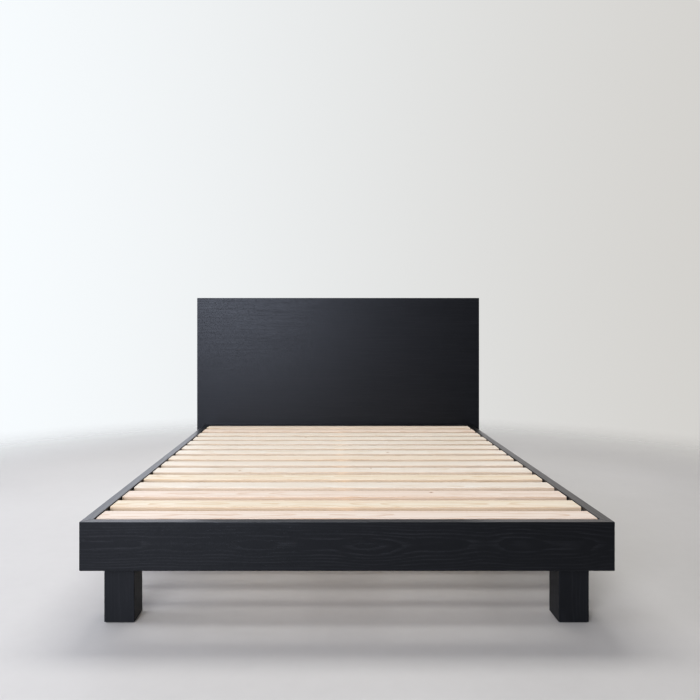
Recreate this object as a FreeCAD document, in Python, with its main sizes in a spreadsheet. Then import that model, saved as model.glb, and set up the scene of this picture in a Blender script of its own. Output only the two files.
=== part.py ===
import FreeCAD
import Part
import Sketcher
import os

# Low platform bed in black-stained wood: four mitred rails, four square legs set in from the
# corners, a slab headboard behind the head rail, and fifteen pine slats on ledgers and a centre
# beam. X runs across the bed, +Y from the foot to the headboard and +Z up. The origin is on the
# floor under the middle of the whole bed. All sizes are in millimetres.

SIZES = {
    # frame
    "frame_width": 1609,
    "frame_length": 2112,
    "rail_thick": 32,
    "rail_height": 147,
    "rail_bottom": 180,
    "edge_round": 1.5,
    "tip_round": 0.8,
    # ledgers, screwed inside the rails to carry the slats
    "ledger_thick": 25,
    "ledger_height": 80,
    "ledger_drop": 21,
    # legs and the felt under them
    "leg_side": 93,
    "leg_round": 2,
    "felt_thick": 3,
    "felt_inset": 4,
    # slats and the webbing under them
    "slat_width": 89,
    "slat_thick": 19,
    "slat_pitch": 137,
    "slat_round": 3,
    "slat_end_gap": 2.5,
    "slat_first_gap": 16,
    "slat_play": 1.2,
    "strap_width": 40,
    "strap_thick": 1.5,
    "strap_offset": 545,
    "strap_end_gap": 28,
    # centre beam, its hangers and its two posts
    "beam_width": 40,
    "beam_height": 70,
    "hanger_thick": 2,
    "hanger_depth": 40,
    "hanger_flange": 20,
    "post_side": 45,
    "post_bottom": 26,
    # headboard
    "headboard_width": 1705,
    "headboard_thick": 32,
    "headboard_bottom": 180,
    "headboard_top": 1091,
    "batten_width": 80,
    "batten_thick": 25,
    "batten_height": 760,
    "batten_bottom": 243,
    "batten_offset": 560,
    # bolts and threaded inserts
    "bolt_radius": 4,
    "bolt_head_radius": 8.5,
    "bolt_head_thick": 2.5,
    "bolt_socket": 5,
    "bolt_socket_deep": 3.5,
    "bolt_bite": 18,
    "insert_radius": 6,
    "insert_length": 20,
    "bolt_spread": 24,
    # wood screws
    "screw_radius": 2,
    "screw_head_radius": 4.2,
    "screw_bite": 18,
    "screw_socket": 2.5,
    "screw_socket_deep": 1.6,
    "dowel_length": 60,
    # staples
    "staple_crown": 12,
    "staple_wire": 1.2,
    "staple_leg": 10,
    # levellers under the posts
    "stem_length": 62,
    "collar_thick": 3.5,
    "collar_flats": 13,
    "nut_thick": 6.5,
    "base_radius": 16,
    "base_thick": 8,
    "base_floor": 3,
    # gaps: round a fixed fastener, and round a turning stem
    "fit_gap": 0.1,
    "running_gap": 0.06,
}

SLAT_COUNT = 15

# An edge counts as straight within the tolerance, and as long over this share of the piece.
STRAIGHT_TOLERANCE = 1e-6
LONG_SHARE = 0.9

# Places that several pieces share, as formulas over the sheet.
FOOT_Y = "(-(dims.frame_length + dims.headboard_thick + dims.batten_thick) / 2)"
HEAD_Y = f"({FOOT_Y} + dims.frame_length)"
HALF_X = "(dims.frame_width / 2)"
INNER_X = f"({HALF_X} - dims.rail_thick)"
LEDGER_X = f"({INNER_X} - dims.ledger_thick)"
LEDGER_FOOT_Y = f"({FOOT_Y} + dims.rail_thick + dims.ledger_thick)"
LEDGER_HEAD_Y = f"({HEAD_Y} - dims.rail_thick - dims.ledger_thick)"
INNER_LENGTH = "(dims.frame_length - 2 * dims.rail_thick)"
LEDGER_TOP = "(dims.rail_bottom + dims.rail_height - dims.ledger_drop)"
LEDGER_MID = f"({LEDGER_TOP} - dims.ledger_height / 2)"
BEAM_BOTTOM = f"({LEDGER_TOP} - dims.beam_height)"
BACK_Y = f"({HEAD_Y} + dims.headboard_thick + dims.batten_thick)"

doc = FreeCAD.newDocument("platform_bed")


def fill_sheet():
    """Write every driving size into the sheet as plain text, with its name beside it."""
    sheet = doc.addObject("Spreadsheet::Sheet", "dims")
    for row, (alias, size) in enumerate(SIZES.items(), start=1):
        sheet.set(f"A{row}", alias.replace("_", " "))
        sheet.set(f"B{row}", str(size))
        sheet.setAlias(f"B{row}", alias)
    doc.recompute()
    return sheet


dims = fill_sheet()
nodes = []


def turn(to):
    """The rotation that takes a piece's own +Z to the direction named."""
    directions = {
        "+X": (1, 0, 0),
        "-X": (-1, 0, 0),
        "+Y": (0, 1, 0),
        "-Y": (0, -1, 0),
        "+Z": (0, 0, 1),
        "-Z": (0, 0, -1),
    }
    return FreeCAD.Rotation(FreeCAD.Vector(0, 0, 1), FreeCAD.Vector(*directions[to]))


def spin(degrees):
    """A turn about the vertical."""
    return FreeCAD.Rotation(FreeCAD.Vector(0, 0, 1), degrees)


def place(piece, x, y, z, rotation=None):
    """Put a piece at a point given as three formulas over the sheet."""
    if rotation:
        piece.Placement = FreeCAD.Placement(FreeCAD.Vector(), rotation)
    for axis, formula in zip("xyz", (x, y, z)):
        piece.setExpression(f".Placement.Base.{axis}", str(formula))


def node(piece, label):
    """Name a finished sub-part and list it for export."""
    piece.Label = label
    nodes.append(piece)


def new_sketch(body, role, name):
    """A sketch on one of the body's own origin planes."""
    sketch = body.newObject("Sketcher::SketchObject", name)
    plane = next(item for item in body.Origin.OriginFeatures if item.Role == role)
    sketch.AttachmentSupport = (plane, [""])
    sketch.MapMode = "FlatFace"
    return sketch


def outline(sketch, corners):
    """A closed straight-sided outline, each corner's place bound to formulas over the sheet."""
    points = []
    for corner in corners:
        across, along = (dims.evalExpression(str(formula)) for formula in corner)
        points.append(FreeCAD.Vector(float(across), float(along), 0))
    lines = []
    for start, end in zip(points, points[1:] + points[:1]):
        lines.append(sketch.addGeometry(Part.LineSegment(start, end), False))
    for here, after in zip(lines, lines[1:] + lines[:1]):
        sketch.addConstraint(Sketcher.Constraint("Coincident", here, 2, after, 1))
    for line, point, corner in zip(lines, points, corners):
        for kind, value, formula in zip(("DistanceX", "DistanceY"), point, corner):
            index = sketch.addConstraint(Sketcher.Constraint(kind, -1, 1, line, 1, value))
            label = f"{kind}_{line}"
            sketch.renameConstraint(index, label)
            sketch.setExpression(f"Constraints.{label}", str(formula))


def centred(width, height):
    """The corners of a rectangle round the sketch's origin."""
    half_width = f"({width}) / 2"
    half_height = f"({height}) / 2"
    return [
        (f"-{half_width}", f"-{half_height}"),
        (f"{half_width}", f"-{half_height}"),
        (f"{half_width}", f"{half_height}"),
        (f"-{half_width}", f"{half_height}"),
    ]


def hexagon(flats):
    """The corners of a hexagon, given its width across the flats."""
    reach = f"{flats} / 2 / cos(30)"
    corners = []
    for index in range(6):
        angle = 60 * index + 30
        corners.append((f"{reach} * cos({angle})", f"{reach} * sin({angle})"))
    return corners


def pad(body, role, corners, length, name="outline", backwards=False):
    """Draw an outline on an origin plane and pad it."""
    sketch = new_sketch(body, role, name)
    outline(sketch, corners)
    feature = body.newObject("PartDesign::Pad", f"{name}_pad")
    feature.Profile = sketch
    feature.setExpression("Length", str(length))
    feature.Reversed = backwards
    doc.recompute()
    return feature


def pocket(body, role, corners, start, depth, name):
    """Cut an outline into the body, from a height on the plane's normal, away from that normal."""
    before = body.Shape.Volume
    sketch = new_sketch(body, role, name)
    outline(sketch, corners)
    sketch.setExpression(".AttachmentOffset.Base.z", str(start))
    feature = body.newObject("PartDesign::Pocket", f"{name}_pocket")
    feature.Profile = sketch
    feature.setExpression("Length", str(depth))
    doc.recompute()
    if body.Shape.Volume >= before:
        raise RuntimeError(f"{name} cut nothing")


def revolve(label, corners):
    """A turned piece: its half profile, drawn across and up, about its own vertical axis."""
    body = doc.addObject("PartDesign::Body", label)
    sketch = new_sketch(body, "XZ_Plane", "profile")
    outline(sketch, corners)
    feature = body.newObject("PartDesign::Revolution", "turned")
    feature.Profile = sketch
    feature.ReferenceAxis = (sketch, ["V_Axis"])
    feature.Angle = 360
    doc.recompute()
    return body


def round_edges(body, feature, radius, chosen):
    """Round the edges of the body that a test picks."""
    names = []
    for index, edge in enumerate(feature.Shape.Edges, start=1):
        if chosen(edge):
            names.append(f"Edge{index}")
    fillet = body.newObject("PartDesign::Fillet", "eased_edges")
    fillet.Base = (feature, names)
    fillet.setExpression("Radius", radius)
    doc.recompute()
    return fillet


def runs_along(axis, shape):
    """A test for the long straight edges that run along X, Y or Z."""
    box = shape.BoundBox
    reach = {"x": box.XLength, "y": box.YLength, "z": box.ZLength}[axis]

    def test(edge):
        ends = edge.Vertexes
        if len(ends) < 2:
            return False
        step = ends[1].Point - ends[0].Point
        other = [abs(getattr(step, name)) for name in "xyz" if name != axis]
        return max(other) < STRAIGHT_TOLERANCE and edge.Length > LONG_SHARE * reach

    return test


def block(label, size_x, size_y, size_z, long_axis, radius):
    """A plank: centred on X and Y, standing on its own base, its long edges eased."""
    body = doc.addObject("PartDesign::Body", label)
    base = pad(body, "XY_Plane", centred(size_x, size_y), size_z)
    round_edges(body, base, radius, runs_along(long_axis, base.Shape))
    return body


def copies(label, master, places):
    """One compound of linked copies, each with the direction its own +Z takes and its place."""
    links = []
    for index, (direction, x, y, z) in enumerate(places):
        link = doc.addObject("App::Link", f"{label}_{index}")
        link.LinkedObject = master
        link.LinkTransform = True
        place(link, x, y, z, turn(direction))
        links.append(link)
    compound = doc.addObject("Part::Compound", label)
    compound.Links = links
    doc.recompute()
    return compound


def drilled(label, blank, holes):
    """The finished piece: its blank with every hole cut."""
    tools = doc.addObject("Part::Compound", f"{label}_holes")
    tools.Links = holes
    cut = doc.addObject("Part::Cut", label)
    blank.Label = f"{label}_blank"
    cut.Base = blank
    cut.Tool = tools
    doc.recompute()
    node(cut, label)


# Fasteners. Each is drawn with its own +Z pointing out of the face it is driven into, and each
# has a slightly larger twin that cuts its hole.

THREAD_CHAMFER = 1
HEAD_CHAMFER = 0.8
INSERT_CHAMFER = 0.8
INSERT_RECESS = 0.2
SCREW_TIP_TAPER = 1.5
SCREW_TIP_LENGTH = 4
SCREW_RIM = 0.3


def connector_bolt(label, grip):
    """A flat-headed bolt with a hexagon socket. The grip is the wood between head and insert."""
    length = f"{grip} + dims.bolt_bite"
    body = revolve(
        label,
        [
            ("0", f"-({length})"),
            (f"dims.bolt_radius - {THREAD_CHAMFER}", f"-({length})"),
            ("dims.bolt_radius", f"-({length}) + {THREAD_CHAMFER}"),
            ("dims.bolt_radius", "0"),
            ("dims.bolt_head_radius", "0"),
            ("dims.bolt_head_radius", f"dims.bolt_head_thick - {HEAD_CHAMFER}"),
            (f"dims.bolt_head_radius - {HEAD_CHAMFER}", "dims.bolt_head_thick"),
            ("0", "dims.bolt_head_thick"),
        ],
    )
    pocket(
        body,
        "XY_Plane",
        hexagon("dims.bolt_socket"),
        "dims.bolt_head_thick",
        "dims.bolt_socket_deep",
        "socket",
    )
    return body


def bolt_hole(label, grip):
    """The hole for a bolt and the insert at its end."""
    wall = "dims.bolt_radius + dims.fit_gap"
    sleeve = "dims.insert_radius + dims.fit_gap"
    bottom = f"-({grip} + dims.insert_length + dims.fit_gap)"
    return revolve(
        label,
        [
            ("0", bottom),
            (sleeve, bottom),
            (sleeve, f"-({grip})"),
            (wall, f"-({grip})"),
            (wall, "0"),
            ("0", "0"),
        ],
    )


def threaded_insert(label, bore):
    """A sleeve pressed into the wood, its mouth at the origin and its body below."""
    return revolve(
        label,
        [
            (bore, "-dims.insert_length"),
            (f"dims.insert_radius - {INSERT_CHAMFER}", "-dims.insert_length"),
            ("dims.insert_radius", f"-dims.insert_length + {INSERT_CHAMFER}"),
            ("dims.insert_radius", f"-{INSERT_RECESS}"),
            (bore, f"-{INSERT_RECESS}"),
        ],
    )


def wood_screw(label, grip, gap="0"):
    """A countersunk screw, its head flush, through the grip and on into the wood behind."""
    shank = f"dims.screw_radius + {gap}"
    head = f"dims.screw_head_radius + {gap}"
    tip = f"-({grip} + dims.screw_bite + {gap})"
    neck = f"-{SCREW_RIM} - (dims.screw_head_radius - dims.screw_radius)"
    return revolve(
        label,
        [
            ("0", tip),
            (f"{shank} - {SCREW_TIP_TAPER}", tip),
            (shank, f"{tip} + {SCREW_TIP_LENGTH}"),
            (shank, neck),
            (head, f"-{SCREW_RIM}"),
            (head, "0"),
            ("0", "0"),
        ],
    )


def socketed(body):
    """Sink a small hexagon socket in a screw's head."""
    pocket(
        body,
        "XY_Plane",
        hexagon("dims.screw_socket"),
        "0",
        "dims.screw_socket_deep",
        "socket",
    )
    return body


# Where each kind of fastener goes: the direction its head faces, then its place.

LEG_MID_X = f"({LEDGER_X} - dims.leg_side / 2)"
LEG_MID_FOOT = f"({LEDGER_FOOT_Y} + dims.leg_side / 2)"
LEG_MID_HEAD = f"({LEDGER_HEAD_Y} - dims.leg_side / 2)"
LEG_INNER_X = f"({LEDGER_X} - dims.leg_side)"
LEG_GRIP = "(dims.leg_side + dims.ledger_thick)"


def leg_bolt_places():
    """At each leg two bolts go into the side rail and one, between them, into the end rail."""
    places = []
    ends = (
        (LEG_MID_FOOT, f"({LEDGER_FOOT_Y} + dims.leg_side)", "+Y"),
        (LEG_MID_HEAD, f"({LEDGER_HEAD_Y} - dims.leg_side)", "-Y"),
    )
    for middle, inner, facing_end in ends:
        for sign, facing_side in ((-1, "+X"), (1, "-X")):
            for step in (-1, 1):
                height = f"{LEDGER_MID} + {step} * dims.bolt_spread"
                places.append((facing_side, f"{sign} * {LEG_INNER_X}", middle, height))
            places.append((facing_end, f"{sign} * {LEG_MID_X}", inner, LEDGER_MID))
    return places


def rail_insert_places():
    """Each leg bolt's insert has its mouth on the rail's inner face."""
    places = []
    for direction, x, y, z in leg_bolt_places():
        if direction == "+X":
            places.append((direction, f"-{INNER_X}", y, z))
        elif direction == "-X":
            places.append((direction, INNER_X, y, z))
        elif direction == "+Y":
            places.append((direction, x, f"{FOOT_Y} + dims.rail_thick", z))
        else:
            places.append((direction, x, f"{HEAD_Y} - dims.rail_thick", z))
    return places


HEADBOARD_BOLT_X = (-600, -200, 200, 600)
END_SCREW_X = (-500, -300, -100, 100, 300, 500)
SIDE_SCREW_COUNT = 7
SIDE_SCREW_END = 180
BATTEN_SCREW_COUNT = 4
BATTEN_SCREW_END = 60
HEADBOARD_GRIP = "(dims.ledger_thick + dims.rail_thick)"


def headboard_bolt_places():
    """Four bolts in a row through the head ledger and head rail."""
    return [("-Y", x, LEDGER_HEAD_Y, LEDGER_MID) for x in HEADBOARD_BOLT_X]


def headboard_insert_places():
    """Each headboard bolt's insert has its mouth on the headboard's front face."""
    return [("-Y", x, HEAD_Y, LEDGER_MID) for x in HEADBOARD_BOLT_X]


def ledger_screw_places(which):
    """One row of screws along the middle of a ledger."""
    if which == "foot":
        return [("+Y", x, LEDGER_FOOT_Y, LEDGER_MID) for x in END_SCREW_X]
    if which == "head":
        return [("-Y", x, LEDGER_HEAD_Y, LEDGER_MID) for x in END_SCREW_X]
    direction, sign = ("+X", -1) if which == "left" else ("-X", 1)
    places = []
    for index in range(SIDE_SCREW_COUNT):
        share = index / (SIDE_SCREW_COUNT - 1)
        along = f"{FOOT_Y} + dims.rail_thick + {SIDE_SCREW_END}"
        along = f"{along} + {share} * ({INNER_LENGTH} - 2 * {SIDE_SCREW_END})"
        places.append((direction, f"{sign} * {LEDGER_X}", along, LEDGER_MID))
    return places


def batten_screw_places(sign):
    """One row of screws up the middle of a batten, driven from behind."""
    places = []
    for index in range(BATTEN_SCREW_COUNT):
        share = index / (BATTEN_SCREW_COUNT - 1)
        height = f"dims.batten_bottom + {BATTEN_SCREW_END}"
        height = f"{height} + {share} * (dims.batten_height - 2 * {BATTEN_SCREW_END})"
        places.append(("+Y", f"{sign} * dims.batten_offset", BACK_Y, height))
    return places


HANGER_SCREW_SPREAD = 16
HANGER_SCREW_X = "(dims.beam_width / 2 + dims.hanger_thick + dims.hanger_flange / 2)"


def hanger_screw_places(end):
    """Two screws through each flange of a hanger."""
    direction = "+Y" if end == "foot" else "-Y"
    flange = f"{LEDGER_FOOT_Y} + dims.hanger_thick"
    if end == "head":
        flange = f"{LEDGER_HEAD_Y} - dims.hanger_thick"
    places = []
    for sign in (-1, 1):
        for step in (-1, 1):
            height = f"{LEDGER_MID} + {step} * {HANGER_SCREW_SPREAD}"
            places.append((direction, f"{sign} * {HANGER_SCREW_X}", flange, height))
    return places


POST_Y = {
    "foot_end": f"({FOOT_Y} + dims.rail_thick + {INNER_LENGTH} / 3)",
    "head_end": f"({FOOT_Y} + dims.rail_thick + {INNER_LENGTH} * 2 / 3)",
}


SHIFT_START = 40
SHIFT_STEP = 137


def slat_start(index):
    """How far a slat's foot-side edge stands along Y."""
    first = f"{FOOT_Y} + dims.rail_thick + dims.slat_first_gap"
    return f"({first} + {index} * dims.slat_pitch)"


def slat_shift(index):
    """A slat lies a little to one side of the middle, each one differently."""
    return f"(dims.slat_play * sin({index * SHIFT_STEP + SHIFT_START}))"


def staple_places(index):
    """Each slat has one staple through each strap."""
    middle = f"{slat_start(index)} + dims.slat_width / 2"
    under = f"{LEDGER_TOP} - dims.strap_thick"
    return [("-Z", f"{sign} * dims.strap_offset", middle, under) for sign in (-1, 1)]


# Hardware groups and the tools that cut their holes.

leg_bolt = connector_bolt("leg_bolt", LEG_GRIP)
node(copies("leg_bolts", leg_bolt, leg_bolt_places()), "leg_bolts")
leg_bolt_hole = bolt_hole("leg_bolt_hole", LEG_GRIP)
leg_bolt_holes = copies("leg_bolt_holes", leg_bolt_hole, leg_bolt_places())

insert = threaded_insert("threaded_insert", "dims.bolt_radius + dims.fit_gap")
node(copies("rail_inserts", insert, rail_insert_places()), "rail_inserts")

headboard_bolt = connector_bolt("headboard_bolt", HEADBOARD_GRIP)
node(copies("headboard_bolts", headboard_bolt, headboard_bolt_places()), "headboard_bolts")
headboard_bolt_hole = bolt_hole("headboard_bolt_hole", HEADBOARD_GRIP)
headboard_bolt_holes = copies(
    "headboard_bolt_holes", headboard_bolt_hole, headboard_bolt_places()
)
node(copies("headboard_inserts", insert, headboard_insert_places()), "headboard_inserts")

ledger_screw = socketed(wood_screw("ledger_screw", "dims.ledger_thick"))
ledger_screw_hole = wood_screw("ledger_screw_hole", "dims.ledger_thick", "dims.fit_gap")
side_screws = ledger_screw_places("left") + ledger_screw_places("right")
end_screws = ledger_screw_places("foot") + ledger_screw_places("head")
node(copies("ledger_screws", ledger_screw, side_screws + end_screws), "ledger_screws")
ledger_holes = {}
for side in ("left", "right", "foot", "head"):
    ledger_holes[side] = copies(
        f"ledger_holes_{side}", ledger_screw_hole, ledger_screw_places(side)
    )

both_battens = batten_screw_places(-1) + batten_screw_places(1)
node(copies("batten_screws", ledger_screw, both_battens), "batten_screws")
batten_holes = copies("batten_holes", ledger_screw_hole, both_battens)

hanger_screw = socketed(wood_screw("hanger_screw", "dims.hanger_thick"))
hanger_screw_hole = wood_screw("hanger_screw_hole", "dims.hanger_thick", "dims.fit_gap")
both_hangers = hanger_screw_places("foot") + hanger_screw_places("head")
node(copies("hanger_screws", hanger_screw, both_hangers), "hanger_screws")
hanger_holes = {}
for end in ("foot", "head"):
    hanger_holes[end] = copies(f"hanger_holes_{end}", hanger_screw_hole, hanger_screw_places(end))


# Rails. Each is a mitred plank, drawn with its outer face on its own X axis.


def mitred_rail(label, length, rotation, x, y, holes):
    """A rail with both ends cut at 45 degrees, its inner face the shorter one."""
    body = doc.addObject("PartDesign::Body", f"{label}_body")
    corners = [
        (f"-{length} / 2", "0"),
        (f"{length} / 2", "0"),
        (f"{length} / 2 - dims.rail_thick", "dims.rail_thick"),
        (f"-{length} / 2 + dims.rail_thick", "dims.rail_thick"),
    ]
    base = pad(body, "XY_Plane", corners, "dims.rail_height")
    upright = runs_along("z", base.Shape)

    def outer_tip(edge):
        return upright(edge) and abs(edge.CenterOfMass.y) < STRAIGHT_TOLERANCE

    eased = round_edges(body, base, "dims.tip_round", outer_tip)
    round_edges(body, eased, "dims.edge_round", runs_along("x", eased.Shape))
    place(body, x, y, "dims.rail_bottom", rotation)
    return drilled(label, body, holes)


mitred_rail(
    "foot_rail", "dims.frame_width", spin(0), "0", FOOT_Y, [leg_bolt_holes, ledger_holes["foot"]]
)
mitred_rail(
    "head_rail",
    "dims.frame_width",
    spin(180),
    "0",
    HEAD_Y,
    [leg_bolt_holes, ledger_holes["head"], headboard_bolt_holes],
)
MIDDLE_Y = f"({FOOT_Y} + dims.frame_length / 2)"
mitred_rail(
    "side_rail_left",
    "dims.frame_length",
    spin(-90),
    f"-{HALF_X}",
    MIDDLE_Y,
    [leg_bolt_holes, ledger_holes["left"]],
)
mitred_rail(
    "side_rail_right",
    "dims.frame_length",
    spin(90),
    HALF_X,
    MIDDLE_Y,
    [leg_bolt_holes, ledger_holes["right"]],
)

# Ledgers. The side ledgers run the whole inner length and the end ledgers fit between them.

for side, sign in (("left", -1), ("right", 1)):
    ledger = block(
        f"ledger_{side}_body",
        "dims.ledger_thick",
        INNER_LENGTH,
        "dims.ledger_height",
        "y",
        "dims.edge_round",
    )
    middle_x = f"{sign} * ({INNER_X} - dims.ledger_thick / 2)"
    place(ledger, middle_x, MIDDLE_Y, f"{LEDGER_TOP} - dims.ledger_height")
    drilled(f"side_ledger_{side}", ledger, [leg_bolt_holes, ledger_holes[side]])

for end, middle_y in (
    ("foot", f"{LEDGER_FOOT_Y} - dims.ledger_thick / 2"),
    ("head", f"{LEDGER_HEAD_Y} + dims.ledger_thick / 2"),
):
    ledger = block(
        f"ledger_{end}_body",
        f"2 * {LEDGER_X}",
        "dims.ledger_thick",
        "dims.ledger_height",
        "x",
        "dims.edge_round",
    )
    place(ledger, "0", middle_y, f"{LEDGER_TOP} - dims.ledger_height")
    cuts = [leg_bolt_holes, ledger_holes[end], hanger_holes[end]]
    if end == "head":
        cuts.append(headboard_bolt_holes)
    drilled(f"{end}_ledger", ledger, cuts)

# Legs, each in the corner between two ledgers, with a felt pad under it.

LEG_PLACES = {
    "foot_left": ("-" + LEG_MID_X, LEG_MID_FOOT),
    "foot_right": (LEG_MID_X, LEG_MID_FOOT),
    "head_left": ("-" + LEG_MID_X, LEG_MID_HEAD),
    "head_right": (LEG_MID_X, LEG_MID_HEAD),
}
for name, (x, y) in LEG_PLACES.items():
    leg = block(
        f"leg_{name}_body",
        "dims.leg_side",
        "dims.leg_side",
        f"{LEDGER_TOP} - dims.felt_thick",
        "z",
        "dims.leg_round",
    )
    place(leg, x, y, "dims.felt_thick")
    drilled(f"leg_{name}", leg, [leg_bolt_holes])

felt_side = "dims.leg_side - 2 * dims.felt_inset"
felt = block("felt_pad", felt_side, felt_side, "dims.felt_thick", "z", "dims.leg_round")
node(copies("leg_felts", felt, [("+Z", x, y, "0") for x, y in LEG_PLACES.values()]), "leg_felts")

# Headboard slab, the two battens behind it and their screws.

panel = block(
    "headboard_body",
    "dims.headboard_width",
    "dims.headboard_thick",
    "dims.headboard_top - dims.headboard_bottom",
    "x",
    "dims.edge_round",
)
place(panel, "0", f"{HEAD_Y} + dims.headboard_thick / 2", "dims.headboard_bottom")
drilled("headboard_panel", panel, [headboard_bolt_holes, batten_holes])

for side, sign in (("left", -1), ("right", 1)):
    batten = block(
        f"batten_{side}_body",
        "dims.batten_width",
        "dims.batten_thick",
        "dims.batten_height",
        "z",
        "dims.leg_round",
    )
    place(
        batten,
        f"{sign} * dims.batten_offset",
        f"{BACK_Y} - dims.batten_thick / 2",
        "dims.batten_bottom",
    )
    drilled(f"headboard_batten_{side}", batten, [batten_holes])

# Centre beam between the end ledgers, carried by a steel hanger at each end.

DOWEL_TIP_TAPER = 2
DOWEL_TIP_LENGTH = 5
dowel_tip = "dims.dowel_length / 2"
dowel_point = f"dims.bolt_radius - {DOWEL_TIP_TAPER}"
dowel = revolve(
    "dowel_screw_body",
    [
        ("0", f"-{dowel_tip}"),
        (dowel_point, f"-{dowel_tip}"),
        ("dims.bolt_radius", f"-{dowel_tip} + {DOWEL_TIP_LENGTH}"),
        ("dims.bolt_radius", f"{dowel_tip} - {DOWEL_TIP_LENGTH}"),
        (dowel_point, dowel_tip),
        ("0", dowel_tip),
    ],
)
dowel_wall = "dims.bolt_radius + dims.fit_gap"
dowel_end = f"{dowel_tip} + dims.fit_gap"
dowel_hole = revolve(
    "dowel_hole_body",
    [
        ("0", f"-({dowel_end})"),
        (dowel_wall, f"-({dowel_end})"),
        (dowel_wall, dowel_end),
        ("0", dowel_end),
    ],
)
post_tops = [("+Z", "0", along, BEAM_BOTTOM) for along in POST_Y.values()]
node(copies("post_dowel_screws", dowel, post_tops), "post_dowel_screws")
dowel_holes = copies("dowel_holes", dowel_hole, post_tops)

BEAM_END_GAP = 0.5
beam_length = f"({LEDGER_HEAD_Y} - {LEDGER_FOOT_Y} - 2 * {BEAM_END_GAP})"
beam = block(
    "beam_body", "dims.beam_width", beam_length, "dims.beam_height", "y", "dims.edge_round"
)
place(beam, "0", MIDDLE_Y, BEAM_BOTTOM)
drilled("centre_beam", beam, [dowel_holes])

HANGER_SIDE = 54
HANGER_PLAY = 0.3


def beam_hanger(end):
    """A folded steel saddle: a channel under the beam and a flange each side on the ledger."""
    body = doc.addObject("PartDesign::Body", f"hanger_{end}_body")
    inner = f"dims.beam_width / 2 + {HANGER_PLAY}"
    outer = f"{inner} + dims.hanger_thick"
    channel = [
        (f"-({outer})", "-dims.hanger_thick"),
        (f"{outer}", "-dims.hanger_thick"),
        (f"{outer}", f"{HANGER_SIDE}"),
        (f"{inner}", f"{HANGER_SIDE}"),
        (f"{inner}", "0"),
        (f"-({inner})", "0"),
        (f"-({inner})", f"{HANGER_SIDE}"),
        (f"-({outer})", f"{HANGER_SIDE}"),
    ]
    pad(body, "XZ_Plane", channel, "dims.hanger_depth", "channel", backwards=True)
    for sign, name in ((-1, "flange_a"), (1, "flange_b")):
        near = f"{sign} * ({inner})"
        far = f"{sign} * ({outer} + dims.hanger_flange)"
        corners = [(near, "0"), (far, "0"), (far, f"{HANGER_SIDE}"), (near, f"{HANGER_SIDE}")]
        pad(body, "XZ_Plane", corners, "dims.hanger_thick", name, backwards=True)
    if end == "foot":
        place(body, "0", LEDGER_FOOT_Y, BEAM_BOTTOM, spin(0))
    else:
        place(body, "0", LEDGER_HEAD_Y, BEAM_BOTTOM, spin(180))
    return drilled(f"beam_hanger_{end}", body, [hanger_holes[end]])


beam_hanger("foot")
beam_hanger("head")

# Posts under the beam. Each has a threaded insert in its foot for a levelling screw.

stem_bore = "dims.bolt_radius + dims.running_gap"
post_feet = [("-Z", "0", along, "dims.post_bottom") for along in POST_Y.values()]
leveller_insert = threaded_insert("leveller_insert", stem_bore)
node(copies("leveller_inserts", leveller_insert, post_feet), "leveller_inserts")

STEM_HOLE_GAP = 0.6
STEM_HOLE_SPARE = 12
sleeve_wall = "dims.insert_radius + dims.fit_gap"
stem_wall = f"dims.bolt_radius + {STEM_HOLE_GAP}"
sleeve_end = "-(dims.insert_length + dims.fit_gap)"
stem_end = f"-(dims.stem_length + {STEM_HOLE_SPARE} - dims.post_bottom + dims.base_floor)"
post_bore = revolve(
    "post_bore",
    [
        ("0", stem_end),
        (stem_wall, stem_end),
        (stem_wall, sleeve_end),
        (sleeve_wall, sleeve_end),
        (sleeve_wall, "0"),
        ("0", "0"),
    ],
)
post_bores = copies("post_bores", post_bore, post_feet)

for end, along in POST_Y.items():
    post = block(
        f"post_{end}_body",
        "dims.post_side",
        "dims.post_side",
        f"{BEAM_BOTTOM} - dims.post_bottom",
        "z",
        "dims.leg_round",
    )
    place(post, "0", along, "dims.post_bottom")
    drilled(f"centre_post_{end}", post, [post_bores, dowel_holes])

# Levellers: a lock nut against the post, a threaded stem with a hexagon collar, and the round
# base on the floor that the stem turns in.

nut = doc.addObject("PartDesign::Body", "lock_nut")
pad(nut, "XY_Plane", hexagon("dims.collar_flats"), "dims.nut_thick")
nut_bore = doc.addObject("Part::Cylinder", "nut_bore")
nut_bore.setExpression("Radius", stem_bore)
nut_bore.setExpression("Height", "dims.nut_thick")
bored_nut = doc.addObject("Part::Cut", "bored_nut")
bored_nut.Base = nut
bored_nut.Tool = nut_bore
nut_places = [("+Z", "0", along, "dims.post_bottom - dims.nut_thick") for along in POST_Y.values()]
node(copies("leveller_lock_nuts", bored_nut, nut_places), "leveller_lock_nuts")

COLLAR_LIFT = 0.3
BASE_CHAMFER = 1
BASE_RIM = 3
BASE_TOP_SHARE = 0.5


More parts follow.
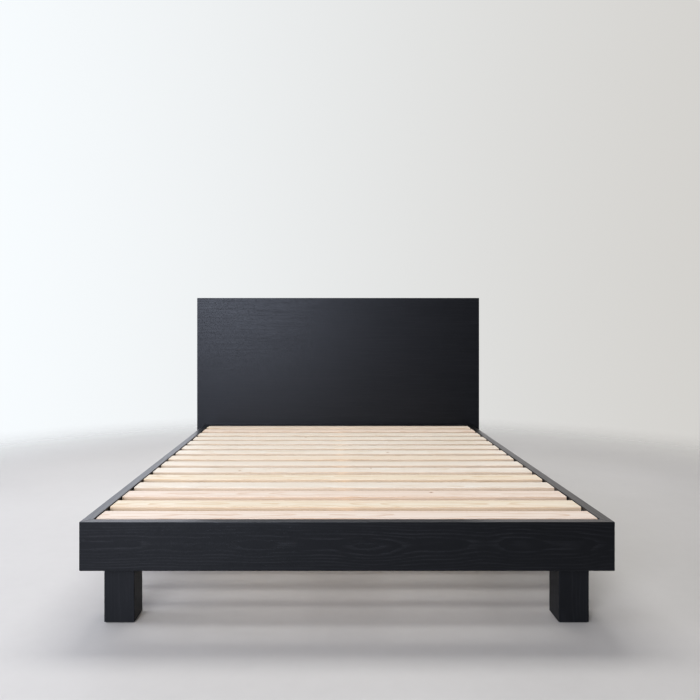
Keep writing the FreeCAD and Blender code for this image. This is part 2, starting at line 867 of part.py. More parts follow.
def leveller(end, along):
    """One stem and one base, standing on the floor under a post."""
    foot = f"dims.base_floor + {COLLAR_LIFT}"
    top = "dims.base_floor + dims.stem_length"
    stem = revolve(
        f"stem_{end}",
        [
            ("0", foot),
            ("dims.bolt_radius", foot),
            ("dims.bolt_radius", f"{top} - {THREAD_CHAMFER}"),
            (f"dims.bolt_radius - {THREAD_CHAMFER}", top),
            ("0", top),
        ],
    )
    collar = doc.addObject("PartDesign::Body", f"collar_{end}")
    pad(collar, "XY_Plane", hexagon("dims.collar_flats"), "dims.collar_thick")
    place(collar, "0", "0", f"dims.base_thick + {COLLAR_LIFT}")
    both = doc.addObject("Part::Fuse", f"leveller_stem_{end}")
    both.Base = stem
    both.Tool = collar
    place(both, "0", along, "0")
    node(both, f"leveller_stem_{end}")

    base = revolve(
        f"base_{end}",
        [
            ("0", "0"),
            (f"dims.base_radius - {BASE_CHAMFER}", "0"),
            ("dims.base_radius", f"{BASE_CHAMFER}"),
            ("dims.base_radius", f"{BASE_RIM}"),
            (f"dims.base_radius * {BASE_TOP_SHARE}", "dims.base_thick"),
            (stem_bore, "dims.base_thick"),
            (stem_bore, "dims.base_floor"),
            ("0", "dims.base_floor"),
        ],
    )
    place(base, "0", along, "0")
    node(base, f"leveller_base_{end}")


for end, along in POST_Y.items():
    leveller(end, along)

# Slats, and under them two webbing straps with a staple into each slat.


def staple_body(label, gap):
    """A staple with its crown outside the wood and two legs going in, against its own +Z."""
    body = doc.addObject("PartDesign::Body", label)
    outer = f"dims.staple_crown / 2 + {gap}"
    inner = f"dims.staple_crown / 2 - dims.staple_wire - {gap}"
    depth = f"-(dims.staple_leg + {gap})"
    corners = [
        (f"-({outer})", "dims.staple_wire"),
        (f"-({outer})", depth),
        (f"-({inner})", depth),
        (f"-({inner})", "0"),
        (f"{inner}", "0"),
        (f"{inner}", depth),
        (f"{outer}", depth),
        (f"{outer}", "dims.staple_wire"),
    ]
    feature = pad(body, "XZ_Plane", corners, f"dims.staple_wire + 2 * {gap}", "wire")
    feature.SideType = "Symmetric"
    doc.recompute()
    return body


staple = staple_body("staple", "0")
staple_slot = staple_body("staple_slot", "dims.fit_gap")
every_staple = []
for index in range(SLAT_COUNT):
    every_staple += staple_places(index)
node(copies("strap_staples", staple, every_staple), "strap_staples")

staple_slots = []
slat_length = f"(2 * {INNER_X} - 2 * dims.slat_end_gap)"
for index in range(SLAT_COUNT):
    number = f"{index + 1:02d}"
    slat = block(
        f"slat_{number}_body",
        slat_length,
        "dims.slat_width",
        "dims.slat_thick",
        "x",
        "dims.slat_round",
    )
    middle = f"{slat_start(index)} + dims.slat_width / 2"
    place(slat, slat_shift(index), middle, LEDGER_TOP)
    slots = copies(f"staple_slots_{number}", staple_slot, staple_places(index))
    staple_slots.append(slots)
    drilled(f"slat_{number}", slat, [slots])

strap_length = f"({INNER_LENGTH} - 2 * dims.strap_end_gap)"
for side, sign in (("left", -1), ("right", 1)):
    strap = doc.addObject("Part::Box", f"strap_{side}_body")
    strap.setExpression("Length", "dims.strap_width")
    strap.setExpression("Width", strap_length)
    strap.setExpression("Height", "dims.strap_thick")
    place(
        strap,
        f"{sign} * dims.strap_offset - dims.strap_width / 2",
        f"{FOOT_Y} + dims.rail_thick + dims.strap_end_gap",
        f"{LEDGER_TOP} - dims.strap_thick",
    )
    drilled(f"slat_strap_{side}", strap, staple_slots)


def check_document():
    """Stop if any object failed, or any finished piece has no sound shape."""
    for item in doc.Objects:
        if "Invalid" in item.State or "Error" in item.State:
            raise RuntimeError(f"{item.Name} failed: {item.State}")
    for piece in nodes:
        shape = piece.Shape
        if shape.isNull() or not shape.isValid() or not shape.Solids:
            raise RuntimeError(f"{piece.Label} has no sound shape")


def write_parts():
    """Write each finished piece to its own file."""
    os.makedirs("parts", exist_ok=True)
    for piece in nodes:
        piece.Shape.exportStep(f"parts/{piece.Label}.step")
        print(f"{piece.Label}: {len(piece.Shape.Solids)} solids")


doc.recompute()
check_document()
write_parts()
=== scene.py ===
import math
import random

import bmesh
import bpy
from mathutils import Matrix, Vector


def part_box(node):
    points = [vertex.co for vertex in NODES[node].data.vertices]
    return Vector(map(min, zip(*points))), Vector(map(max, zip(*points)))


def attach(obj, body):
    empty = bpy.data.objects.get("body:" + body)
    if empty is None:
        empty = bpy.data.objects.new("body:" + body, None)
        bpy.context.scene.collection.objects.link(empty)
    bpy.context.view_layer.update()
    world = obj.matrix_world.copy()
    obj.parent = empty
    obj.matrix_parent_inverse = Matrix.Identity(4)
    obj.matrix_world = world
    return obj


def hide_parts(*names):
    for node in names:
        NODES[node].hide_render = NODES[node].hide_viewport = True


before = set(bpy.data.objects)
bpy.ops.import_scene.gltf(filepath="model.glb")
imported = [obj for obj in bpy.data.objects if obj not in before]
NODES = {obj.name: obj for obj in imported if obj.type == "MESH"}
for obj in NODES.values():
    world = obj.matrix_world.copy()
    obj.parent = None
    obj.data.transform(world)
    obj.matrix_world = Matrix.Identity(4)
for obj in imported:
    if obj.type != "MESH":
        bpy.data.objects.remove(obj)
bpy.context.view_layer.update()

# The bed's own places, read from the frame. X runs across, Y from the foot to the headboard.
FOOT_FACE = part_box("foot_rail")[0].y
SLAT_COUNT = 15
SLATS = [f"slat_{number:02d}" for number in range(1, SLAT_COUNT + 1)]
BED_ENDS = ("foot_end", "head_end")


# Shader nodes, written as short calls.


class Graph:
    """A node tree in which each call adds one node and gives back its output."""

    def __init__(self, tree):
        self.tree = tree

    def node(self, kind, settings=None, **inputs):
        made = self.tree.nodes.new(kind)
        for name, value in (settings or {}).items():
            setattr(made, name, value)
        for name, value in inputs.items():
            self.put(made.inputs[name.replace("_", " ")], value)
        return made

    def put(self, socket, value):
        """Link an output to a socket, or set the socket to a plain value."""
        if isinstance(value, bpy.types.NodeSocket):
            self.tree.links.new(value, socket)
        else:
            socket.default_value = value

    def math(self, operation, first, second=0.0, third=0.0):
        made = self.node("ShaderNodeMath", {"operation": operation})
        for socket, value in zip(made.inputs, (first, second, third)):
            self.put(socket, value)
        return made.outputs[0]

    def add(self, first, second):
        return self.math("ADD", first, second)

    def times(self, first, second):
        return self.math("MULTIPLY", first, second)

    def vector(self, x, y, z):
        made = self.node("ShaderNodeCombineXYZ")
        for socket, value in zip(made.inputs, (x, y, z)):
            self.put(socket, value)
        return made.outputs[0]

    def smooth(self, value, low, high, start=0.0, end=1.0):
        """A soft step from start to end as the value goes from low to high."""
        made = self.node("ShaderNodeMapRange", {"interpolation_type": "SMOOTHSTEP"})
        for socket, given in zip(made.inputs, (value, low, high, start, end)):
            self.put(socket, given)
        return made.outputs[0]

    def noise(self, vector, scale=1.0, detail=2.0, roughness=0.5):
        made = self.node(
            "ShaderNodeTexNoise", Vector=vector, Scale=scale, Detail=detail, Roughness=roughness
        )
        return made.outputs[0]

    def mix(self, factor, first, second):
        made = self.node("ShaderNodeMix", {"data_type": "RGBA"})
        for name, value in (("Factor_Float", factor), ("A_Color", first), ("B_Color", second)):
            self.put(next(s for s in made.inputs if s.identifier == name), value)
        return next(s for s in made.outputs if s.identifier == "Result_Color")

    def bump(self, height, distance, strength=1.0):
        made = self.node("ShaderNodeBump", Height=height, Distance=distance, Strength=strength)
        return made.outputs[0]


def rgb(red, green, blue):
    """An opaque colour, in linear light."""
    return (red, green, blue, 1.0)


def new_material(name, **constants):
    """A material with one Principled shader, its constant inputs set on the shader itself."""
    made = bpy.data.materials.new(name)
    made.use_nodes = True
    graph = Graph(made.node_tree)
    shader = made.node_tree.nodes["Principled BSDF"]
    for label, value in constants.items():
        shader.inputs[label.replace("_", " ")].default_value = value
    return made, graph, shader


def finish_with(graph, shader, colour, roughness, normal):
    """Feed a material's three worked-out inputs to its shader."""
    graph.put(shader.inputs["Base Color"], colour)
    graph.put(shader.inputs["Roughness"], roughness)
    graph.put(shader.inputs["Normal"], normal)


# Wood. A board's grain runs along one axis, and its growth rings are shells round a heart line
# that lies behind the face and leans a little, which draws arches on the face.

ASH_RING = 0.0075
ASH_STAIN = (rgb(0.0012, 0.0013, 0.0016), rgb(0.0115, 0.0118, 0.0135))
ASH_PORE = rgb(0.0010, 0.0010, 0.0012)
ASH_BUMP = 0.0005
PINE_RING = 0.006
PINE_ROSY = rgb(0.77, 0.61, 0.49)
# The colour of the sawn edges: partly their own grain, mostly painted shade and warm bounce light of
# the gaps between slats.
PINE_SAWN_AND_GAP_SHADE = rgb(0.75, 0.55, 0.37)
PINE_BUMP = 0.0003
KNOT_HALO = rgb(0.42, 0.22, 0.10)
KNOT_CORE = rgb(0.16, 0.07, 0.03)


def board_point(graph, order, middle):
    """Outputs along the grain, across the board and through it, from the board's middle."""
    place = graph.node("ShaderNodeTexCoord").outputs["Object"]
    split = graph.node("ShaderNodeSeparateXYZ", Vector=place)
    axes = dict(zip("xyz", zip(split.outputs, middle)))
    return [graph.math("SUBTRACT", *axes[letter]) for letter in order]


def grain_vector(graph, point, seed, along, across):
    """A point stretched for a noise whose features run with the grain."""
    length, width, through = point
    shifted = graph.add(length, seed)
    return graph.vector(
        graph.times(shifted, along), graph.times(width, across), graph.times(through, across)
    )


def ring_phase(graph, point, seed, spacing, heart, depth, lean, wander, roll):
    """How far each point is through its growth ring, from 0 to 1."""
    length, width, through = point
    sway = graph.noise(grain_vector(graph, point, seed, 1.1, 3.0), detail=1.0)
    lift = graph.noise(grain_vector(graph, point, seed + 31.0, 2.8, 3.0), detail=1.0)
    ripple = graph.noise(grain_vector(graph, point, seed + 57.0, 9.0, 60.0), detail=2.0)
    side = graph.add(width, graph.math("MULTIPLY_ADD", sway, wander, -heart - wander / 2))
    behind = graph.math("MULTIPLY_ADD", length, lean, depth)
    behind = graph.add(behind, graph.math("MULTIPLY_ADD", lift, roll, -roll / 2))
    behind = graph.add(through, behind)
    squares = graph.add(graph.times(side, side), graph.times(behind, behind))
    radius = graph.math("SQRT", squares)
    rings = graph.math("MULTIPLY_ADD", ripple, 0.9, graph.math("DIVIDE", radius, spacing))
    return graph.math("FRACT", rings)


def stained_ash(
    name, order, middle, seed, heart=0.0, depth=0.045, lean=0.03, roll=0.05, staves=None, dull=0.33
):
    """Open-pored ash under a black satin stain.

    staves is the width of the boards in a glued panel, and dull is the least roughness.
    """
    made, graph, shader = new_material(
        name, IOR=1.5, Specular_IOR_Level=0.42, Specular_Tint=rgb(0.80, 0.87, 1.0)
    )
    point = board_point(graph, order, middle)
    if staves:
        stave = graph.math("FLOOR", graph.math("DIVIDE", point[1], staves))
        point[0] = graph.math("MULTIPLY_ADD", stave, 3.7, point[0])
    phase = ring_phase(graph, point, seed, ASH_RING, heart, depth, lean, 0.03, roll)
    early = graph.smooth(phase, 0.0, 0.5, 1.0, 0.0)
    early = graph.math("MAXIMUM", early, graph.smooth(phase, 0.9, 1.0))
    fibre = graph.noise(grain_vector(graph, point, seed, 5.0, 220.0), detail=3.0)
    cloud = graph.noise(grain_vector(graph, point, seed + 11.0, 1.2, 7.0), detail=2.0)
    pore = graph.noise(grain_vector(graph, point, seed + 5.0, 60.0, 1500.0), detail=1.0)
    pore = graph.smooth(pore, 0.54, 0.66)
    pore = graph.times(pore, graph.math("MULTIPLY_ADD", early, 0.8, 0.2))
    streak = graph.times(early, graph.smooth(fibre, 0.35, 0.7))
    tone = graph.math("MULTIPLY_ADD", cloud, 0.3, graph.times(streak, 0.9))
    colour = graph.mix(tone, *ASH_STAIN)
    colour = graph.mix(graph.times(pore, 0.7), colour, ASH_PORE)
    roughness = graph.math("MULTIPLY_ADD", streak, 0.12, dull)
    roughness = graph.math("MULTIPLY_ADD", fibre, 0.08, roughness)
    height = graph.math("MULTIPLY_ADD", pore, -1.0, graph.times(streak, -0.35))
    height = graph.math("MULTIPLY_ADD", fibre, 0.15, height)
    finish_with(graph, shader, colour, roughness, graph.bump(height, ASH_BUMP, 0.3))
    return made


def pine(name, order, middle, seed, tint, heart=0.0, depth=0.03, lean=0.02, knots=()):
    """Unfinished pine, planed on its faces; its sawn edges are painted darker and warmer, a little
    for their own grain and mostly as painted shade and warm bounce light between boards.
    """
    made, graph, shader = new_material(name, IOR=1.45)
    point = board_point(graph, order, middle)
    phase = ring_phase(graph, point, seed, PINE_RING, heart, depth, lean, 0.02, 0.03)
    late = graph.smooth(phase, 0.45, 0.92)
    late = graph.times(late, graph.smooth(phase, 0.93, 1.0, 1.0, 0.0))
    fibre = graph.noise(grain_vector(graph, point, seed, 4.0, 260.0), detail=3.0)
    cloud = graph.noise(grain_vector(graph, point, seed + 11.0, 1.5, 9.0), detail=2.0)
    pale, deep = tint
    tone = graph.math("MULTIPLY_ADD", late, 0.55, graph.smooth(fibre, 0.4, 0.75, 0.0, 0.25))
    tone = graph.math("MULTIPLY_ADD", cloud, 0.35, graph.math("SUBTRACT", tone, 0.12))
    colour = graph.mix(graph.math("MAXIMUM", tone, 0.0), pale, deep)
    rosy = graph.noise(grain_vector(graph, point, seed + 23.0, 2.2, 14.0), detail=2.0)
    colour = graph.mix(graph.smooth(rosy, 0.5, 0.75, 0.0, 0.35), colour, PINE_ROSY)
    # The sawn edges are the faces turned across the width. They get a darker, warmer colour, partly
    # for their own rougher grain and mostly as painted shade and warm bounce light of the gaps
    # between slats.
    facing = graph.node("ShaderNodeNewGeometry").outputs["Normal"]
    sides = graph.node("ShaderNodeSeparateXYZ", Vector=facing).outputs
    edge = graph.math("ABSOLUTE", sides["xyz".index(order[1])])
    colour = graph.mix(graph.smooth(edge, 0.5, 0.9, 0.0, 0.45), colour, PINE_SAWN_AND_GAP_SHADE)
    for along, across, size in knots:
        reach = graph.math("SUBTRACT", point[0], along)
        aside = graph.math("SUBTRACT", point[1], across)
        spot = graph.math("SQRT", graph.add(graph.times(reach, reach), graph.times(aside, aside)))
        halo = graph.smooth(spot, size, size * 2.6, 0.5, 0.0)
        core = graph.smooth(spot, size * 0.5, size, 0.85, 0.0)
        colour = graph.mix(halo, colour, KNOT_HALO)
        colour = graph.mix(core, colour, KNOT_CORE)
    roughness = graph.math("MULTIPLY_ADD", fibre, 0.15, 0.47)
    height = graph.math("MULTIPLY_ADD", late, 0.4, graph.times(fibre, 0.6))
    finish_with(graph, shader, colour, roughness, graph.bump(height, PINE_BUMP, 0.6))
    return made


# Hardware, webbing and felt.

WARP_PITCH = 0.0022
WEFT_PITCH = 0.0030


def plated_steel():
    """Zinc plate with a faint mottle and fine scuffs."""
    made, graph, shader = new_material("zinc_plate", Metallic=1.0)
    place = graph.node("ShaderNodeTexCoord").outputs["Object"]
    mottle = graph.noise(place, 260.0, 3.0)
    scuff = graph.noise(place, 1400.0, 2.0)
    colour = graph.mix(mottle, rgb(0.46, 0.47, 0.50), rgb(0.66, 0.66, 0.64))
    roughness = graph.math("MULTIPLY_ADD", mottle, 0.22, 0.24)
    finish_with(graph, shader, colour, roughness, graph.bump(scuff, 0.00005, 0.5))
    return made


def plain_brass():
    """Turned brass, a little uneven in its shine."""
    made, graph, shader = new_material("turned_brass", Metallic=1.0)
    place = graph.node("ShaderNodeTexCoord").outputs["Object"]
    mottle = graph.noise(place, 300.0, 3.0)
    colour = graph.mix(mottle, rgb(0.58, 0.40, 0.16), rgb(0.74, 0.56, 0.28))
    roughness = graph.math("MULTIPLY_ADD", mottle, 0.2, 0.25)
    finish_with(graph, shader, colour, roughness, graph.bump(mottle, 0.00005, 0.5))
    return made


def webbing():
    """Flat woven webbing: rows of crossed threads."""
    made, graph, shader = new_material("charcoal_webbing", Sheen_Weight=0.25, IOR=1.45)
    place = graph.node("ShaderNodeTexCoord").outputs["Object"]
    split = graph.node("ShaderNodeSeparateXYZ", Vector=place)
    warp = graph.math("SINE", graph.times(split.outputs[0], math.tau / WARP_PITCH))
    weft = graph.math("SINE", graph.times(split.outputs[1], math.tau / WEFT_PITCH))
    weave = graph.math("MULTIPLY_ADD", graph.times(warp, weft), 0.5, 0.5)
    fuzz = graph.noise(place, 900.0, 3.0)
    tone = graph.math("MULTIPLY_ADD", fuzz, 0.5, graph.times(weave, 0.5))
    colour = graph.mix(tone, rgb(0.018, 0.018, 0.020), rgb(0.070, 0.070, 0.076))
    roughness = graph.math("MULTIPLY_ADD", fuzz, 0.2, 0.68)
    height = graph.math("MULTIPLY_ADD", fuzz, 0.3, weave)
    finish_with(graph, shader, colour, roughness, graph.bump(height, 0.0004, 0.8))
    return made


def pressed_felt():
    """Dark grey felt with a short nap."""
    made, graph, shader = new_material("pressed_felt", Sheen_Weight=0.4, IOR=1.45)
    place = graph.node("ShaderNodeTexCoord").outputs["Object"]
    fuzz = graph.noise(place, 700.0, 5.0, 0.7)
    colour = graph.mix(fuzz, rgb(0.020, 0.020, 0.021), rgb(0.085, 0.085, 0.088))
    roughness = graph.math("MULTIPLY_ADD", fuzz, 0.15, 0.8)
    finish_with(graph, shader, colour, roughness, graph.bump(fuzz, 0.0006, 0.9))
    return made


def moulded_plastic():
    """Black plastic with a fine stipple."""
    made, graph, shader = new_material("moulded_plastic", IOR=1.5)
    place = graph.node("ShaderNodeTexCoord").outputs["Object"]
    stipple = graph.noise(place, 1800.0, 2.0)
    colour = graph.mix(stipple, rgb(0.014, 0.014, 0.015), rgb(0.030, 0.030, 0.032))
    roughness = graph.math("MULTIPLY_ADD", stipple, 0.2, 0.42)
    finish_with(graph, shader, colour, roughness, graph.bump(stipple, 0.0001, 0.5))
    return made


def dress(node, material):
    """Give a CAD node its material."""
    mesh = NODES[node].data
    mesh.materials.clear()
    mesh.materials.append(material)


def middle_of(node):
    """The middle of a CAD node's box."""
    low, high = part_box(node)
    return (low + high) / 2


# Each black piece: the order of its axes (grain, width, thickness) and where its heart line is.

STAINED = {
    "foot_rail": ("xzy", {"heart": 0.004, "depth": 0.05, "lean": 0.012, "roll": 0.09, "dull": 0.27}),
    "head_rail": ("xzy", {"heart": -0.01, "depth": 0.06, "lean": -0.02, "dull": 0.27}),
    "side_rail_left": ("yzx", {"heart": 0.012, "depth": 0.05, "lean": 0.02, "dull": 0.27}),
    "side_rail_right": ("yzx", {"heart": -0.012, "depth": 0.05, "lean": -0.024, "dull": 0.27}),
    "side_ledger_left": ("yzx", {"heart": 0.02, "depth": 0.07}),
    "side_ledger_right": ("yzx", {"heart": -0.02, "depth": 0.07}),
    "foot_ledger": ("xzy", {"heart": 0.02, "depth": 0.07}),
    "head_ledger": ("xzy", {"heart": -0.02, "depth": 0.07}),
    "leg_foot_left": ("zxy", {"heart": 0.02, "depth": 0.09, "lean": 0.03, "dull": 0.5}),
    "leg_foot_right": ("zxy", {"heart": -0.02, "depth": 0.09, "lean": 0.04, "dull": 0.5}),
    "leg_head_left": ("zxy", {"heart": 0.01, "depth": 0.08, "lean": 0.03, "dull": 0.5}),
    "leg_head_right": ("zxy", {"heart": -0.01, "depth": 0.08, "lean": 0.03, "dull": 0.5}),
    "headboard_panel": ("xzy", {"heart": 0.8, "depth": 0.1, "lean": 0.01, "staves": 0.152}),
    "headboard_batten_left": ("zxy", {"heart": 0.02, "depth": 0.06}),
    "headboard_batten_right": ("zxy", {"heart": -0.02, "depth": 0.06}),
}
for count, (node, (order, shape)) in enumerate(STAINED.items()):
    dress(node, stained_ash(f"ash_{node}", order, middle_of(node), 3.0 + 4.1 * count, **shape))

# Slats: creamy, pinkish and yellowish boards in no order, with a few small knots.

CREAM = (rgb(0.79, 0.725, 0.63), rgb(0.61, 0.46, 0.31))
WHITISH = (rgb(0.78, 0.74, 0.675), rgb(0.62, 0.50, 0.37))
PINKISH = (rgb(0.79, 0.70, 0.625), rgb(0.61, 0.44, 0.32))
YELLOWISH = (rgb(0.79, 0.72, 0.60), rgb(0.62, 0.46, 0.28))
TINTS = (WHITISH, CREAM, WHITISH, PINKISH, YELLOWISH)
KNOTTY = {
    "slat_03": [(0.31, 0.018, 0.0045)],
    "slat_06": [(-0.42, -0.02, 0.004), (0.12, 0.03, 0.003)],
    "slat_09": [(0.22, -0.012, 0.005)],
    "slat_12": [(-0.18, 0.02, 0.004)],
}
draw = random.Random(11)
for count, node in enumerate(SLATS):
    shape = {
        "heart": draw.uniform(-0.06, 0.06),
        "depth": draw.uniform(0.02, 0.07),
        "lean": draw.uniform(-0.02, 0.02),
    }
    knots = KNOTTY.get(node, ())
    board = pine(
        f"pine_{node}", "xyz", middle_of(node), 5.0 * count, draw.choice(TINTS), knots=knots, **shape
    )
    dress(node, board)
dress("centre_beam", pine("pine_beam", "yzx", middle_of("centre_beam"), 81.0, CREAM))
for end in BED_ENDS:
    node = f"centre_post_{end}"
    dress(node, pine(f"pine_{node}", "zxy", middle_of(node), 92.0, YELLOWISH))

steel = plated_steel()
brass = plain_brass()
for node in NODES:
    if node.endswith(("_screws", "_bolts", "_staples", "_nuts")) or node.startswith("beam_hanger"):
        dress(node, steel)
    if node.endswith("_inserts"):
        dress(node, brass)
dress("leg_felts", pressed_felt())
plastic = moulded_plastic()
for end in BED_ENDS:
    dress(f"leveller_base_{end}", plastic)
    dress(f"leveller_stem_{end}", steel)


# Pieces modelled finer than their CAD nodes: webbing straps, threaded stems and hexagon nuts.

SHARP_ANGLE = math.radians(40)
STRAP_STEP = 0.006
STRAP_POINTS = 32
STRAP_SAG = 0.0012
STRAP_SIDE_ROUNDING = 0.35
STRAP_FACE_ROUNDING = 0.5
SELVEDGE = 0.85
BETWEEN_SELVEDGES = 0.9
TURN_POINTS = 48
STEM_RADIUS = 0.004
THREAD_PITCH = 0.00125
THREAD_DEPTH = 0.0007
THREAD_STEPS = 8
COLLAR_LIFT = 0.0003
COLLAR_THICK = 0.0035
HEX_FLATS = 0.013
HEX_CORNER = HEX_FLATS / math.sqrt(3)
HEX_CHAMFER = 0.0006
NUT_BORE = 0.0041


def modelled(name, shells, material, body, node):
    """One piece from shells of rings, each capped at both ends or looped back to its first ring."""
    mesh = bmesh.new()
    for rings, looped in shells:
        rows = [[mesh.verts.new(point) for point in ring] for ring in rings]
        pairs = list(zip(rows, rows[1:]))
        if looped:
            pairs.append((rows[-1], rows[0]))
        else:
            mesh.faces.new(rows[0])
            mesh.faces.new(rows[-1])
        for low, high in pairs:
            for here in range(len(low)):
                there = (here + 1) % len(low)
                mesh.faces.new((low[here], low[there], high[there], high[here]))
    bmesh.ops.recalc_face_normals(mesh, faces=mesh.faces)
    data = bpy.data.meshes.new(name)
    mesh.to_mesh(data)
    mesh.free()
    data.shade_smooth()
    data.set_sharp_from_angle(angle=SHARP_ANGLE)
    data.materials.append(material)
    piece = bpy.data.objects.new(name, data)
    bpy.context.scene.collection.objects.link(piece)
    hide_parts(node)
    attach(piece, body)


def slat_strap(side, material):
    """A webbing strap: tight under each slat, sagging a little across each gap."""
    node = f"slat_strap_{side}"
    low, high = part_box(node)
    middle, half = (low + high) / 2, (high - low) / 2
    edges = [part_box(slat) for slat in SLATS]
    gaps = [(this[1].y, after[0].y) for this, after in zip(edges, edges[1:])]
    rings = []
    count = round((high.y - low.y) / STRAP_STEP)
    for step in range(count + 1):
        along = low.y + (high.y - low.y) * step / count
        sag = 0.0
        for start, end in gaps:
            if start < along < end:
                share = (along - start) / (end - start)
                sag = STRAP_SAG * 4 * share * (1 - share)
        ring = []
        for corner in range(STRAP_POINTS):
            angle = math.tau * corner / STRAP_POINTS
            across = math.copysign(abs(math.cos(angle)) ** STRAP_SIDE_ROUNDING, math.cos(angle))
            thick = math.copysign(abs(math.sin(angle)) ** STRAP_FACE_ROUNDING, math.sin(angle))
            if abs(across) < SELVEDGE:
                thick *= BETWEEN_SELVEDGES
            ring.append((middle.x + half.x * across, along, middle.z - sag + half.z * thick))
        rings.append(ring)
    modelled(f"{node}_woven", [(rings, False)], material, "bed_frame", node)


def ring_at(centre, height, reach):
    """A ring of points round the Z axis through centre; reach gives the radius in a direction."""
    angles = [math.tau * step / TURN_POINTS for step in range(TURN_POINTS)]
    return [
        (centre.x + reach(a) * math.cos(a), centre.y + reach(a) * math.sin(a), height) for a in angles
    ]


def hexagon(limit):
    """The reach of a hexagon whose corners are cut back to a radius."""
    def reach(angle):
        side = HEX_FLATS / 2 / math.cos((angle + math.pi / 6) % (math.pi / 3) - math.pi / 6)
        return min(side, limit)
    return reach


def chamfered_hexagon(centre, low, high):
    """The rings of a hexagon from low to high, its corners turned down at both ends."""
    return [
        ring_at(centre, low, hexagon(HEX_FLATS / 2)),
        ring_at(centre, low + HEX_CHAMFER, hexagon(HEX_CORNER)),
        ring_at(centre, high - HEX_CHAMFER, hexagon(HEX_CORNER)),
        ring_at(centre, high, hexagon(HEX_FLATS / 2)),
    ]


def leveller_stem(end, material):
    """A threaded stem with a hexagon collar near its foot."""
    node = f"leveller_stem_{end}"
    low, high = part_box(node)
    centre = (low + high) / 2
    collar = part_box(f"leveller_base_{end}")[1].z + COLLAR_LIFT
    neck = collar + COLLAR_THICK
    root = STEM_RADIUS - THREAD_DEPTH
    rings = [
        ring_at(centre, low.z, lambda angle: root),
        ring_at(centre, low.z + THREAD_DEPTH, lambda angle: STEM_RADIUS),
        ring_at(centre, collar, lambda angle: STEM_RADIUS),
    ]
    rings += chamfered_hexagon(centre, collar, neck)
    rings.append(ring_at(centre, neck, lambda angle: root))
    start, stop = neck + THREAD_DEPTH, high.z - THREAD_DEPTH
    count = round((stop - start) / THREAD_PITCH * THREAD_STEPS)
    for step in range(count + 1):
        height = start + (stop - start) * step / count

        def reach(angle):
            phase = (height / THREAD_PITCH - angle / math.tau) % 1.0
            return STEM_RADIUS - THREAD_DEPTH * abs(2 * phase - 1)

        rings.append(ring_at(centre, height, reach))
    rings.append(ring_at(centre, high.z, lambda angle: root))
    name = f"{node}_threaded"
    modelled(name, [(rings, False)], material, f"stem_{end}", node)


def lock_nuts(material):
    """The two nuts under the centre posts."""
    low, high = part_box("leveller_lock_nuts")
    shells = []
    for end in BED_ENDS:
        stem_low, stem_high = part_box(f"leveller_stem_{end}")
        centre = (stem_low + stem_high) / 2
        rings = chamfered_hexagon(centre, low.z, high.z)
        for height in (high.z, low.z):
            rings.append(ring_at(centre, height, lambda angle: NUT_BORE))
        shells.append((rings, True))
    node = "leveller_lock_nuts"
    modelled(f"{node}_chamfered", shells, material, "bed_frame", node)


strap_cloth = webbing()
for side in ("left", "right"):
    slat_strap(side, strap_cloth)
for end in BED_ENDS:
    leveller_stem(end, steel)
lock_nuts(steel)


HANGER_EASING = 0.0004
FELT_EASING = 0.0008
WELD_REACH = 0.00001


def eased(node, width):
    """Round a CAD node's sharp edges a little, and keep its mesh."""
    weld = NODES[node].modifiers.new("weld", "WELD")
    weld.merge_threshold = WELD_REACH
    bevel = NODES[node].modifiers.new("eased_edges", "BEVEL")
    bevel.width = width
    bevel.segments = 2
    bevel.limit_method = "ANGLE"


for end in ("foot", "head"):
    eased(f"beam_hanger_{end}", HANGER_EASING)
eased("leg_felts", FELT_EASING)


# The stage: a pale floor that fades out into a pale background, two soft windows on the left, one
# of them well in front, and two soft ceiling lights, the stronger over the head.

FLOOR_RADIUS = 9.0
FLOOR_FADE = (2.2, 4.2)
FLOOR_PAINT = (rgb(0.56, 0.555, 0.55), rgb(0.66, 0.655, 0.65))
FLOOR_BUMP = 0.0005
SENSOR = 36.0
LENS = 35.64
SHIFT = (0.0295, -0.0316)
EYE = (-0.053, FOOT_FACE - 2.080, 0.910)

# The colours at the left and at the right of the backdrop, the room and its far wall. The backdrop's
# dimmer, warmer right side is painted shade.
BACKDROP = (rgb(0.820, 0.855, 0.880), rgb(0.545, 0.530, 0.505))
FAR_ROOM = (rgb(1.60, 1.66, 1.84), rgb(0.52, 0.46, 0.38))
NEAR_ROOM = (rgb(1.15, 1.05, 1.10), rgb(0.0, 0.0, 0.0))
FAR_WALL = (rgb(1.80, 1.83, 1.92), rgb(0.60, 0.56, 0.52))
OVERHEAD = rgb(0.05, 0.05, 0.05)

# Each light: its name, place, target, size in metres, power in watts and colour.
CEILING_WHITE = (1.0, 0.985, 0.95)
LIGHTS = (
    ("front_window", (-1.6, -5.4, 1.8), (0, 0.3, 0.8), (2.0, 2.4), 168.0, (0.94, 0.95, 1.0)),
    ("side_window", (-4.0, -1.0, 1.8), (0, 0.3, 0.4), (2.2, 2.2), 46.0, (0.84, 0.88, 1.0)),
    ("head_ceiling", (0, 0.95, 3.5), (0, 0.95, 0), (3.0, 1.2), 78.0, CEILING_WHITE),
    ("foot_ceiling", (0, -2.3, 3.2), (0, -2.1, 0), (3.0, 1.0), 13.0, CEILING_WHITE),
)


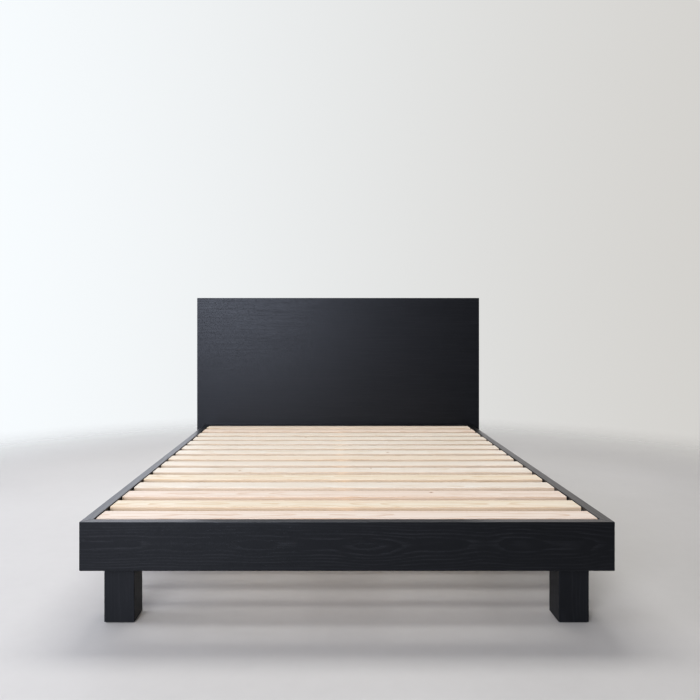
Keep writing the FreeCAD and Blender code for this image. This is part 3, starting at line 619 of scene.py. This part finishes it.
def pale_floor():
    """A painted floor, solid near the bed and clear further off."""
    bpy.ops.mesh.primitive_circle_add(vertices=96, radius=FLOOR_RADIUS, fill_type="NGON")
    floor = bpy.context.object
    floor.name = "studio_floor"
    made, graph, shader = new_material("floor_paint", IOR=1.4)
    place = graph.node("ShaderNodeTexCoord").outputs["Object"]
    broad = graph.noise(place, 1.3, 4.0, 0.6)
    fine = graph.noise(place, 18.0, 4.0, 0.6)
    tone = graph.math("MULTIPLY_ADD", fine, 0.35, graph.times(broad, 0.65))
    colour = graph.mix(tone, *FLOOR_PAINT)
    roughness = graph.math("MULTIPLY_ADD", fine, 0.1, 0.55)
    finish_with(graph, shader, colour, roughness, graph.bump(fine, FLOOR_BUMP, 0.2))
    measure = graph.node("ShaderNodeVectorMath", {"operation": "LENGTH"}, Vector=place)
    distance = measure.outputs["Value"]
    clear = graph.node("ShaderNodeBsdfTransparent").outputs[0]
    both = graph.node("ShaderNodeMixShader")
    graph.put(both.inputs[0], graph.smooth(distance, *FLOOR_FADE))
    graph.put(both.inputs[1], shader.outputs[0])
    graph.put(both.inputs[2], clear)
    graph.put(made.node_tree.nodes["Material Output"].inputs["Surface"], both.outputs[0])
    floor.data.materials.append(made)


def soft_room():
    """A world cooler and brighter on the left than on the right.

    The camera sees a pale backdrop, painted dimmer and warmer towards the right as painted shade.
    Everything else is lit by a room that is bright on the left, dim on the right and dark overhead,
    and shiny faces also mirror a bright far wall.
    """
    world = bpy.data.worlds.new("soft_room")
    world.use_nodes = True
    bpy.context.scene.world = world
    graph = Graph(world.node_tree)
    way = graph.node("ShaderNodeTexCoord").outputs["Generated"]
    split = graph.node("ShaderNodeSeparateXYZ", Vector=way)
    side = graph.smooth(split.outputs[0], -0.75, 0.75)
    # The backdrop, seen only by the camera, is painted shade: dimmer and warmer towards the right.
    seen = graph.mix(side, *BACKDROP)
    back = graph.smooth(split.outputs[1], -0.6, 0.5)
    up = graph.smooth(split.outputs[2], 0.2, 0.7)
    behind = graph.mix(side, *FAR_ROOM)
    before = graph.mix(graph.smooth(split.outputs[0], -0.75, 0.5), *NEAR_ROOM)
    lit = graph.mix(up, graph.mix(back, before, behind), OVERHEAD)
    path = graph.node("ShaderNodeLightPath").outputs
    wall = graph.times(graph.smooth(split.outputs[2], 0.33, 0.42), back)
    gleam = graph.mix(side, *FAR_WALL)
    lit = graph.mix(graph.times(wall, path["Is Glossy Ray"]), lit, gleam)
    background = world.node_tree.nodes["Background"]
    graph.put(background.inputs["Color"], graph.mix(path["Is Camera Ray"], lit, seen))


def area_light(name, place, target, size, power, colour):
    """A soft rectangular light that faces its target."""
    data = bpy.data.lights.new(name, "AREA")
    data.shape = "RECTANGLE"
    data.size, data.size_y = size
    data.energy = power
    data.color = colour
    lamp = bpy.data.objects.new(name, data)
    lamp.location = place
    lamp.rotation_euler = (Vector(target) - Vector(place)).to_track_quat("-Z", "Y").to_euler()
    bpy.context.scene.collection.objects.link(lamp)


def viewpoint():
    """A level camera facing the foot rail, a little left of the middle."""
    data = bpy.data.cameras.new("camera")
    data.sensor_width = SENSOR
    data.lens = LENS
    data.shift_x, data.shift_y = SHIFT
    camera = bpy.data.objects.new("camera", data)
    camera.location = EYE
    camera.rotation_euler = (math.radians(90), 0, 0)
    bpy.context.scene.collection.objects.link(camera)
    bpy.context.scene.camera = camera


pale_floor()
soft_room()
for light in LIGHTS:
    area_light(*light)
viewpoint()
bpy.context.scene.view_settings.view_transform = "Standard"
bpy.context.scene.view_settings.look = "Medium High Contrast"
